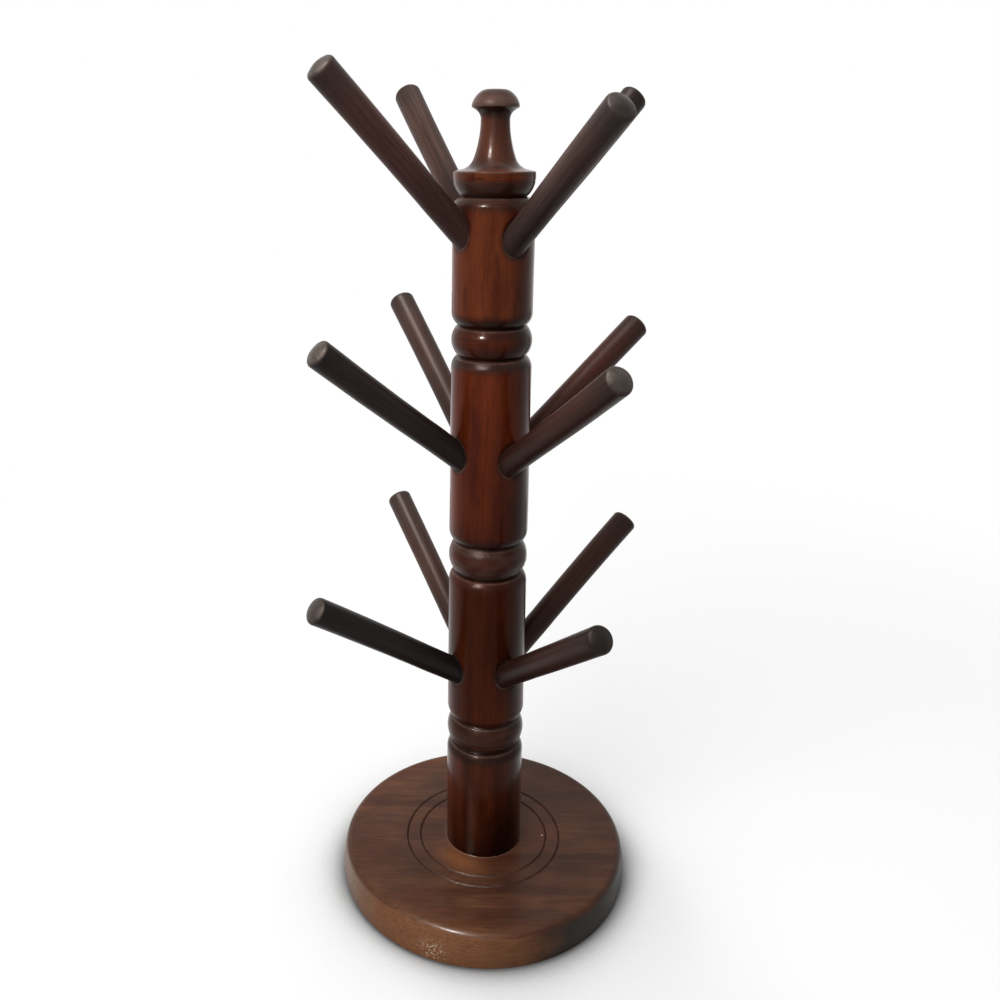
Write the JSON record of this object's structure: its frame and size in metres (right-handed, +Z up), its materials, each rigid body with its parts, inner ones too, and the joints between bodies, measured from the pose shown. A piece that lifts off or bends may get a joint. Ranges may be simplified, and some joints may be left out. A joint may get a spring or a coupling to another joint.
{
  "type": "mug rack",
  "caption": "Free-standing wooden mug tree: a turned post with beads and a finial on a round base, with slanting pegs in tiers from which mugs hang by their handles.",
  "frame": {"origin": "middle of the base's underside, on the surface that the rack stands on", "axes": "+Z up along the post; the pegs of each tier point outward and upward along +X (right), +Y (back), -X (left) and -Y (front)"},
  "size_m": [0.2101, 0.2117, 0.4537],
  "materials": {
    "base_wood": "brown stained hardwood, satin lacquer",
    "post_wood": "red-brown stained hardwood, glossy lacquer, darker in the grooves",
    "peg_wood": "dark brown stained hardwood, satin",
    "screw_steel": "plain zinc-plated screw"
  },
  "bodies": {
    "root": {"base": "base_wood", "post": "post_wood", "finial": "post_wood", "base_screw": "screw_steel", "peg_upper_right": "peg_wood", "peg_upper_back": "peg_wood", "peg_upper_left": "peg_wood", "peg_upper_front": "peg_wood", "peg_middle_right": "peg_wood", "peg_middle_back": "peg_wood", "peg_middle_left": "peg_wood", "peg_middle_front": "peg_wood", "peg_lower_right": "peg_wood", "peg_lower_back": "peg_wood", "peg_lower_left": "peg_wood", "peg_lower_front": "peg_wood"}
  },
  "joints": []
}
